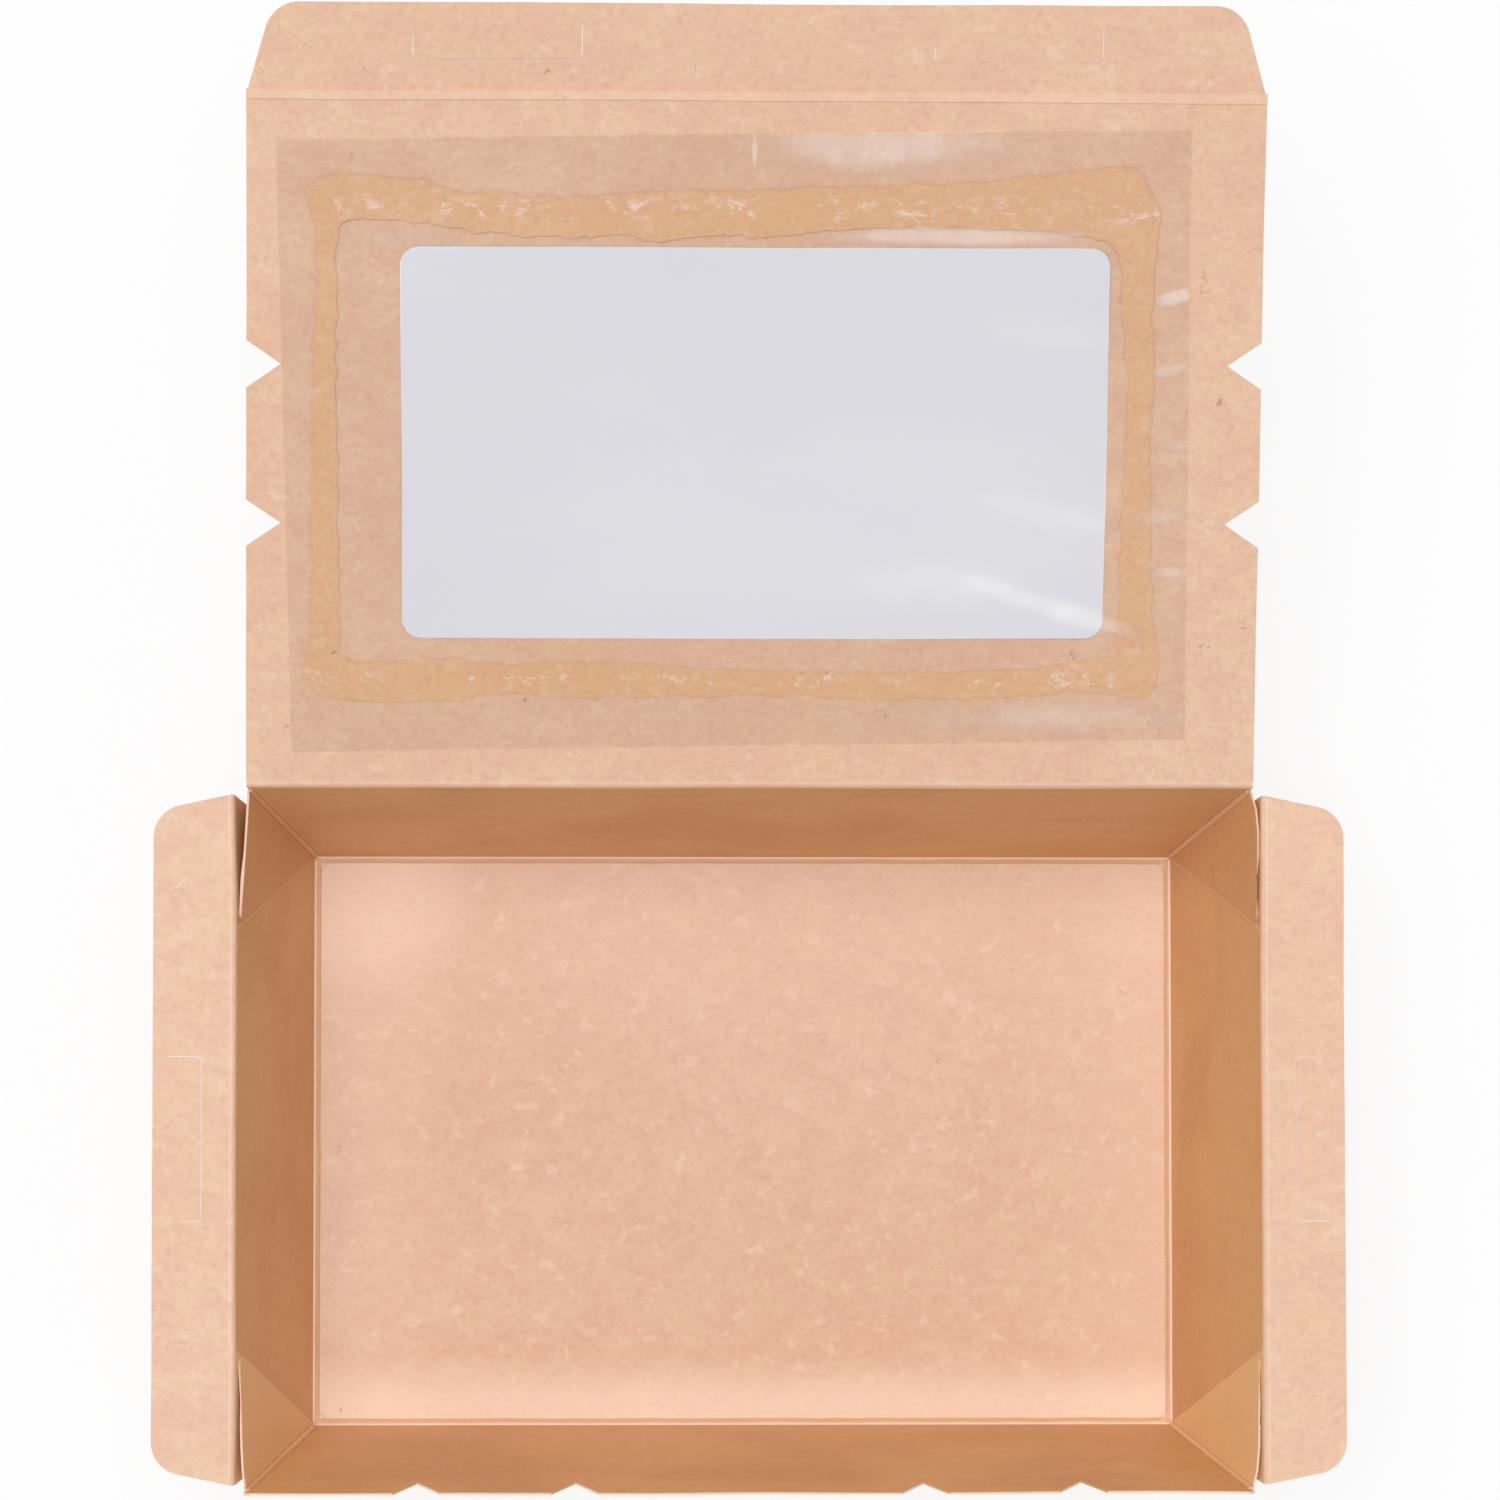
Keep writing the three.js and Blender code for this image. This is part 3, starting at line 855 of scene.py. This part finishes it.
@dataclass
class CardStock:
    """The card that the whole box is cut from, and how a panel of it is finished."""

    nodes: dict[str, bpy.types.Object]
    limits: tuple[Vector, Vector]
    thickness: float = 0.45 * MM
    edge_radius: float = 0.08 * MM
    grid: float = 4.5 * MM
    wave_height: float = 0.55 * MM
    wave_length: float = 55 * MM
    still_height: float = 1.2 * MM
    moving_height: float = 16 * MM
    flat_angle: float = 0.4
    edge_angle: float = 50
    edge_steps: int = 2
    normal_weight: int = 60
    wave: bpy.types.Texture = field(init=False)

    def __post_init__(self) -> None:
        """Makes the soft noise that all panels wave by, so that neighbours stay joined."""
        self.wave = bpy.data.textures.new("card_wave", "CLOUDS")
        self.wave.noise_scale = self.wave_length
        self.wave.noise_depth = 1
        self.wave.cloud_type = "COLOR"

    def panel(self, node: str, name: str, tilt: float = 0.0) -> bpy.types.Object:
        """Copies a card solid as one clean mesh with a grid across it.

        Args:
            node: The solid's node.
            name: The new piece's name.
            tilt: How far the panel leans about X, in radians.

        Returns:
            The piece.
        """
        piece = bpy.data.objects.new(name, self.nodes[node].data.copy())
        bpy.context.scene.collection.objects.link(piece)
        piece.data.materials.clear()
        low, high = (Vector(corner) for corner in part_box(node))
        with editing(piece):
            bpy.ops.mesh.remove_doubles(threshold=WELD)
            bpy.ops.mesh.dissolve_limited(angle_limit=math.radians(self.flat_angle))
            for across in (Vector((1, 0, 0)), Vector((0, math.cos(tilt), math.sin(tilt)))):
                near, far = low.dot(across), high.dot(across)
                count = max(2, round((far - near) / self.grid))
                for step in range(1, count):
                    bpy.ops.mesh.select_all(action="SELECT")
                    place = across * (near + (far - near) * step / count)
                    bpy.ops.mesh.bisect(plane_co=place, plane_no=across)
        return piece

    def wave_card(self, piece: bpy.types.Object) -> None:
        """Waves a piece by the shared noise, more the higher it lies, and keeps it inside the box's own size.

        Args:
            piece: The piece.
        """
        group = piece.vertex_groups.new(name="free")
        for vertex in piece.data.vertices:
            share = (vertex.co.z - self.still_height) / self.moving_height
            group.add([vertex.index], min(1.0, max(0.0, share)), "REPLACE")
        settings = {"texture": self.wave, "texture_coords": "LOCAL", "direction": "RGB_TO_XYZ"}
        settings |= {"strength": self.wave_height, "mid_level": NOISE_MIDDLE, "vertex_group": group.name}
        add_modifier(piece, "DISPLACE", **settings)
        piece.vertex_groups.clear()
        low, high = self.limits
        for vertex in piece.data.vertices:
            held = (min(max(place, least), most) for place, least, most in zip(vertex.co, low, high))
            vertex.co = Vector(held)

    def finish_panel(self, piece: bpy.types.Object, card: bpy.types.Material) -> None:
        """Waves a panel, rounds its cut edges and shades its faces level with their neighbours.

        Args:
            piece: The panel.
            card: Its material.
        """
        self.wave_card(piece)
        settings = {"limit_method": "ANGLE", "angle_limit": math.radians(self.edge_angle)}
        settings |= {"width": self.edge_radius, "segments": self.edge_steps, "use_clamp_overlap": True}
        add_modifier(piece, "BEVEL", **settings)
        shade(piece)
        add_modifier(piece, "WEIGHTED_NORMAL", keep_sharp=True, weight=self.normal_weight)
        piece.data.materials.append(card)


def ease(value: float, start: float = 0.0, end: float = 1.0) -> float:
    """Runs smoothly from 0 at the start to 1 at the end, and is held outside."""
    share = min(1.0, max(0.0, (value - start) / (end - start)))
    return share * share * (3 - 2 * share)


@dataclass(frozen=True)
class GlueLine:
    """The line of glue round the window, laid by machine and pressed flat, in the lid's own millimetres.

    Each station holds a point of its outer edge and the point of its inner edge across from it.
    """

    stations: tuple[tuple[float, float, float, float], ...] = (
        (-88.3, 121.2, -81.7, 114), (-86.8, 122.7, -81.1, 115), (-81.9, 124.6, -79, 115.5),
        (-72.1, 123.6, -73.5, 115.6), (-65.4, 123.5, -67, 114.9), (-61.7, 122, -61, 114.3),
        (-54.9, 120.8, -55, 113.1), (-50.4, 121.2, -50, 112.7), (-44.4, 120.1, -44.1, 112.2),
        (-30.9, 120.1, -30.3, 112.2), (-24.9, 120.8, -24.8, 112.2), (-18.2, 121.2, -19.7, 111.1),
        (-6.9, 121.6, -8.4, 112.8), (1.1, 121.6, 0.5, 112.2), (20.7, 122.2, 18.6, 113.8),
        (35.1, 122.9, 33.1, 114.2), (54, 124.3, 54.5, 113.7), (69.7, 126.4, 67.5, 112),
        (75.1, 125.2, 70.3, 110.3), (78.2, 120.1, 71.5, 108.3), (79.1, 115.8, 71.8, 105.6),
        (78.3, 99.2, 72.2, 98.8), (78.7, 81.8, 73.7, 80.9), (78.1, 71.3, 73.7, 73),
        (78.7, 55.4, 72.9, 57.2), (79.6, 37.6, 72.9, 39.9), (81.1, 25.2, 72, 28.4),
        (79.8, 19.8, 68.9, 27.1), (76.7, 18.6, 66.3, 26.4), (66.7, 19.6, 59.1, 25),
        (53.7, 18.8, 52.1, 24.3), (32.3, 18.2, 31.2, 23.8), (0.1, 19, 0.2, 24.1),
        (-32.6, 18.5, -32.4, 25.8), (-51.7, 19.2, -52.2, 25.3), (-60.1, 17.7, -59.5, 26.6),
        (-76.4, 17.6, -71.7, 26), (-84.2, 18.5, -78.5, 25.8), (-88.2, 20.5, -81.5, 27),
        (-90.1, 24, -82.7, 28.1), (-88, 32.1, -82.1, 32.7), (-87.2, 75.1, -82.5, 75.1),
        (-86.1, 104.8, -82.2, 104.8), (-86.5, 114.7, -82, 111.2),
    )
    teeth: tuple[tuple[float, float], ...] = ((0.9, 0.35), (2.2, 0.45), (6.0, 0.5))

    def edges(self, turn: float) -> tuple[Vector, Vector]:
        """The outer and the inner edge at a place round the line.

        Args:
            turn: How far round it lies, from 0 to 1.

        Returns:
            Both points in metres, on the lid's plane.
        """
        outer = self._through([Vector((x, y, 0)) for x, y, _, _ in self.stations], turn)
        inner = self._through([Vector((x, y, 0)) for _, _, x, y in self.stations], turn)
        out = (outer - inner).normalized()
        return (outer + out * self._teeth(outer)) * MM, (inner - out * self._teeth(inner)) * MM

    @staticmethod
    def _through(points: list[Vector], turn: float) -> Vector:
        """A point of the smooth closed curve that runs through some points.

        Args:
            points: The points in order.
            turn: How far round the curve it lies, from 0 to 1.

        Returns:
            The point.
        """
        count = len(points)
        first = int(turn * count)
        part = turn * count - first
        before, start, end, after = (points[(first + step) % count] for step in (-1, 0, 1, 2))
        bend = (end - before) * 0.5, (after - start) * 0.5
        rise = ease(part)
        away = part * (1 - part) ** 2, -part * part * (1 - part)
        return start.lerp(end, rise) + bend[0] * away[0] + bend[1] * away[1]

    def _teeth(self, place: Vector) -> float:
        """How far the glue has run past its edge at a place: fine teeth and slower waves."""
        return sum(noise.noise(place / length) * height for length, height in self.teeth)


# Sub-assemblies


@dataclass(frozen=True)
class CornerSpring:
    """The back left corner, where the end wall and its flap spring out from the glue flap."""

    push: float = 0.6 * MM
    along_y: Span = mm(40, 70)
    along_z: Span = mm(10, 44)
    along_x: Span = mm(-104, -118)

    def shift(self, place: Vector) -> float:
        """How far a point of the end wall, its fold or its flap moves along -X.

        Args:
            place: The point.

        Returns:
            The distance.
        """
        along = ease(place.y, *self.along_y)
        up = ease(place.z, *self.along_z)
        held = ease(place.x, *self.along_x)
        return self.push * along * up * (1 - held) if place.x < 0 else 0.0

    def apply(self, piece: bpy.types.Object) -> None:
        """Springs out every vertex of a piece that lies beyond the glue flap."""
        for vertex in piece.data.vertices:
            vertex.co.x -= self.shift(vertex.co)


@dataclass
class Tray:
    """The folded tray: floor, leaning walls and glue flaps, with its crease lines."""

    stock: CardStock
    card: bpy.types.Material
    end_rim: Vector
    spring: CornerSpring
    fold: TrayFold = TrayFold()
    hugs: dict[tuple[int, int], float] = field(
        default_factory=lambda: {(1, 1): 0.85, (1, -1): 0.6, (-1, -1): 0.3, (-1, 1): 0.0}
    )
    hug_reach: float = 0.22
    flap_clearances: Span = mm(0.33, 0.18)
    flap_reach: float = 0.2 * MM
    corner_clearance: float = 0.5 * MM

    def build(self) -> None:
        """Makes the tray's card and lets it ride on the tray."""
        piece = self.stock.panel("tray", "tray_card")
        for vertex in piece.data.vertices:
            self._settle(vertex.co)
        self.stock.finish_panel(piece, self.card)
        self._mark_shaded_side(piece)
        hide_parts("tray")
        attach(piece, "tray")
        log.info("tray_card: floor, four walls and glue flaps")

    def _end_wall(self, height: float) -> float:
        """How far from the middle an end wall's inner face stands.

        Args:
            height: The height above the table.

        Returns:
            The distance along X.
        """
        half_x = self.fold.half_floor[0]
        middle_z = self.stock.thickness / 2
        rise = (height - middle_z) / (self.end_rim.z - middle_z)
        return half_x + (self.end_rim.x - half_x) * rise - self.stock.thickness

    def _mark_shaded_side(self, piece: bpy.types.Object) -> None:
        """Marks the corners of faces that look into the box or lie on an end wall, where the tray's finish
        paints shade.

        Args:
            piece: The tray's card.
        """
        mesh = piece.data
        mark = mesh.attributes.new(SHADED_SIDE, "FLOAT", "CORNER")
        for loop, corner, value in zip(mesh.loops, mesh.corner_normals, mark.data):
            place, normal = mesh.vertices[loop.vertex_index].co, corner.vector
            inward = normal.x * place.x + normal.y * place.y < 0
            at_wall = normal.z < 0 and abs(normal.x) > abs(normal.y)
            hidden = abs(place.x) < self._end_wall(place.z) + self.flap_reach
            value.value = float(inward or (at_wall and hidden))

    def _settle(self, place: Vector) -> None:
        """Lays a glue flap's point closer to its end wall, or springs an end wall's point out.

        Args:
            place: The vertex's place, which is changed.
        """
        side = 1 if place.x > 0 else -1
        end = 1 if place.y > 0 else -1
        rim = Vector(self.fold.corner_rim)
        corner = Vector(self.fold.corner_foot).lerp(rim, place.z / rim.z)
        cut_y = self.fold.half_floor[1] - self.fold.cut_slope * place.z
        wall_x = self._end_wall(place.z)
        share = (corner.y - abs(place.y)) / (corner.y - cut_y) if corner.y > cut_y else 1.0
        gap = (wall_x - corner.x) * (1 - share)
        over_flap, over_wall = self.flap_clearances
        if 0 < share < 1 and abs(place.x) < min(wall_x - gap + over_flap, wall_x + over_wall):
            place.x += side * self.hugs[side, end] * gap * ease(share, end=self.hug_reach)
        elif abs(place.x) > corner.x and abs(place.y) < corner.y - self.corner_clearance:
            place.x -= self.spring.shift(place)


@dataclass
class Lid:
    """The lid: its panel with the window cut out, the film and the glue that holds it."""

    stock: CardStock
    hinge: Hinge
    front: Hinge
    card: bpy.types.Material
    film_size: Span = mm(178.7, 124.2)
    film_middle: Span = mm(-3.5, 70.6)
    film_skew: float = 0.9
    film_lift: float = 0.5 * MM
    film_thickness: float = 0.05 * MM
    film_steps: tuple[int, int] = (90, 62)
    glue_lift: float = 0.32 * MM
    glue_thickness: float = 0.06 * MM
    glue_steps: tuple[int, int] = (1400, 3)
    glue_line: GlueLine = field(default_factory=GlueLine)

    @property
    def slope(self) -> Vector:
        """The direction from the lid's hinge to its front fold."""
        return (self.front.place - self.hinge.place).normalized()

    @property
    def tilt(self) -> float:
        """How far the open lid leans up from level, in radians."""
        return math.atan2(self.slope.z, self.slope.y)

    @property
    def plane(self) -> Matrix:
        """The lid's own axes: X along its hinge, Y away from it and Z out of its inner face."""
        return Matrix.Translation(self.hinge.place) @ Matrix.Rotation(self.tilt, 4, "X")

    @property
    def lid_place(self) -> LidPlace:
        """Where the open lid's own millimetres start and how it leans."""
        return LidPlace(self.tilt, self.hinge.place.y)

    def build(self) -> None:
        """Makes the lid's pieces and lets them ride on the lid."""
        Panel(self.stock, "lid_panel", "lid_card", "kraft_lid", "lid", self.card, self.tilt).build()
        self._build_film()
        self._build_glue()

    def _build_film(self) -> None:
        """The film, cut a little askew."""
        piece = add_grid("window_film_sheet", self.film_steps)
        turned = Matrix.Rotation(math.radians(self.film_skew), 4, "Z")
        sized = Matrix.Diagonal((*(length / 2 for length in self.film_size), 1, 1))
        placed = Matrix.Translation((*self.film_middle, self.film_lift))
        set_in_place(piece, self.plane @ placed @ turned @ sized)
        self.stock.wave_card(piece)
        add_modifier(piece, "SOLIDIFY", thickness=self.film_thickness, offset=0.0)
        shade(piece)
        piece.data.materials.append(FilmFinish(self.lid_place).build())
        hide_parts("window_film")
        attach(piece, "lid")
        log.info("window_film_sheet: clear film over the window")

    def _build_glue(self) -> None:
        """The ring of glue between the film and the card, with a ragged edge."""
        piece = add_grid("film_glue_ring", self.glue_steps)
        for vertex in piece.data.vertices:
            outer, inner = self.glue_line.edges((vertex.co.x + 1) / 2)
            vertex.co = inner.lerp(outer, (vertex.co.y + 1) / 2)
        with editing(piece):
            bpy.ops.mesh.remove_doubles(threshold=WELD)
            bpy.ops.mesh.normals_make_consistent(inside=False)
        set_in_place(piece, self.plane @ Matrix.Translation((0, 0, self.glue_lift)))
        self.stock.wave_card(piece)
        add_modifier(piece, "SOLIDIFY", thickness=self.glue_thickness, offset=0.0)
        piece.data.materials.append(GlueFinish("dried_glue", lid=self.lid_place).build())
        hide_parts("film_glue")
        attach(piece, "lid")
        log.info("film_glue_ring: glue under the film's border")


@dataclass
class Panel:
    """A flat panel of card: the lid's, the tuck flap or an end flap, with its cuts."""

    stock: CardStock
    node: str
    name: str
    slot: str
    body: str
    card: bpy.types.Material
    tilt: float = 0.0
    spring: CornerSpring | None = None

    def build(self) -> None:
        """Makes the panel and lets it ride on its body."""
        piece = self.stock.panel(self.node, self.name, self.tilt)
        if self.spring:
            self.spring.apply(piece)
        self.stock.finish_panel(piece, self.card)
        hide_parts(self.node)
        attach(piece, self.body)
        log.info("%s: panel with its cuts", self.name)


@dataclass
class FoldStrip:
    """The pressed, rounded card of a fold that opens and shuts."""

    stock: CardStock
    hinge: Hinge
    slot: str
    card: bpy.types.Material
    before: Vector
    after: Vector
    line: Vector
    half_length: float
    spring: CornerSpring | None = None
    radius: float = 0.6 * MM
    reach: float = 0.95 * MM
    fullness: float = 1.06
    bend_steps: int = 8
    length_steps: int = 90

    def _path(self) -> list[Vector]:
        """The middle of the card across the rounded fold, from one panel to the other.

        Returns:
            The points of the path.
        """
        place, start, end = self.hinge.place, self.before * self.radius, self.after * self.radius
        points = [place - self.before * self.reach]
        for step in range(self.bend_steps + 1):
            share = step / self.bend_steps
            points.append(place - start * (1 - share) ** 2 + end * share**2)
        return points + [place + self.after * self.reach]

    def build(self) -> None:
        """Makes the strip, whose rows follow the path."""
        name = f"{self.hinge.name}_crease"
        path = self._path()
        rows = len(path) - 1
        piece = add_grid(name, (self.length_steps, rows))
        for vertex in piece.data.vertices:
            row = round((vertex.co.y + 1) / 2 * rows)
            vertex.co = path[row] + self.line * (vertex.co.x * self.half_length)
        thickness = self.stock.thickness * self.fullness
        add_modifier(piece, "SOLIDIFY", thickness=thickness, offset=0.0, use_even_offset=True)
        if self.spring:
            self.spring.apply(piece)
        self.stock.wave_card(piece)
        shade(piece)
        piece.data.materials.append(self.card)
        start = self.hinge.place - self.before * self.radius
        end = self.hinge.place + self.after * self.radius
        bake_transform(piece)
        log.info("%s: rounded fold", name)


@dataclass
class Studio:
    """The floor, the lights and the camera."""

    floor_size: float = 6.0
    floor_drop: float = 0.4 * MM
    camera_place: Triple = (-0.0458, -0.0064, 1.4165)
    camera_turn: Triple = (3.518, -1.908, -0.015)
    focal_length: float = 164.48
    sensor_width: float = 36.0
    sky_strength: float = 0.5
    key_strength: float = 1.7
    key_spread: float = 50.0
    key_turn: Triple = (-8, -10, 0)

    def build(self) -> None:
        """Makes the floor, the world, the lights and the camera."""
        self._build_floor()
        self._build_sky()
        self._build_key()
        self._build_camera()

    def _build_floor(self) -> None:
        """The pale floor."""
        bpy.ops.object.select_all(action="DESELECT")
        bpy.ops.mesh.primitive_plane_add(size=self.floor_size, location=(0, 0, -self.floor_drop))
        floor = bpy.context.active_object
        floor.name = "studio_floor"
        floor.data.materials.append(StudioFinish().build())
        floor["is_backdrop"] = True

    def _build_sky(self) -> None:
        """A plain white sky, shown at full white to the eye."""
        world = bpy.data.worlds.new("studio_sky")
        bpy.context.scene.world = world
        graph = ShaderGraph(world, "ShaderNodeOutputWorld")
        seen = graph.node("ShaderNodeLightPath", output="Is Camera Ray")
        lit, shown = (
            graph.node("ShaderNodeBackground", None, {"Color": WHITE, "Strength": strength})
            for strength in (self.sky_strength, 1.0)
        )
        graph.finish(graph.node("ShaderNodeMixShader", None, {0: seen, 1: lit, 2: shown}))

    def _build_key(self) -> None:
        """One broad soft light from high above."""
        data = bpy.data.lights.new("key_light", "SUN")
        data.energy = self.key_strength
        data.angle = math.radians(self.key_spread)
        lamp = bpy.data.objects.new("key_light", data)
        lamp.rotation_euler = tuple(math.radians(angle) for angle in self.key_turn)
        bpy.context.scene.collection.objects.link(lamp)

    def _build_camera(self) -> None:
        """The camera straight above, leaning a little, as the photograph was taken."""
        data = bpy.data.cameras.new("photo_camera")
        data.lens = self.focal_length
        data.sensor_width = self.sensor_width
        data.sensor_fit = "HORIZONTAL"
        camera = bpy.data.objects.new("photo_camera", data)
        camera.location = self.camera_place
        camera.rotation_euler = tuple(math.radians(angle) for angle in self.camera_turn)
        bpy.context.scene.collection.objects.link(camera)
        bpy.context.scene.camera = camera


def main() -> None:
    """Builds the box and its studio."""
    logging.basicConfig(level=logging.INFO, format="%(name)s: %(message)s")
    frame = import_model()
    cad_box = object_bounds()
    bpy.context.scene.view_settings.view_transform = "Standard"
    record = frame["record"]
    stock = CardStock(frame["nodes"], tuple(Vector(corner) for corner in cad_box))
    lid_hinge = Hinge.read(record, "lid_hinge")
    tuck_fold = Hinge.read(record, "tuck_fold")
    end_folds = {side: Hinge.read(record, f"{side.name.lower()}_flap_fold") for side in Side}
    tray_card = TrayFinish("kraft_tray_card").build()
    lid_card = KraftFinish("kraft_lid_card").build()
    crease_card = KraftFinish("kraft_crease", painted_highlight=CREASE_HIGHLIGHT).build()

    spring = CornerSpring()
    Tray(stock, tray_card, end_folds[Side.RIGHT].place, spring).build()
    lid = Lid(stock, lid_hinge, tuck_fold, lid_card)
    lid.build()
    Panel(stock, "tuck_flap", "tuck_flap_card", "kraft_tuck", tuck_fold.child, lid_card, lid.tilt).build()
    for side, hinge in end_folds.items():
        node = f"{side.name.lower()}_end_flap"
        Panel(stock, node, f"{node}_card", "kraft_end_flap", hinge.child, lid_card, spring=spring).build()

    half_x, half_y = TrayFold().half_floor
    along = Vector((1, 0, 0))
    wall_up = (lid_hinge.place - Vector((0, half_y, stock.thickness / 2))).normalized()
    out = lid.slope
    FoldStrip(stock, lid_hinge, "kraft_lid", crease_card, wall_up, out, along, LID_FOLD_HALF).build()
    FoldStrip(stock, tuck_fold, "kraft_tuck", crease_card, out, out, along, TUCK_FOLD_HALF).build()
    for side, hinge in end_folds.items():
        out = Vector((side.value, 0, 0))
        up = (hinge.place - Vector((side.value * half_x, 0, stock.thickness / 2))).normalized()
        line = Vector((0, -side.value, 0))
        FoldStrip(stock, hinge, "kraft_end_flap", crease_card, up, out, line, END_FOLD_HALF, spring).build()

    Studio().build()


if __name__ == "__main__":
    main()
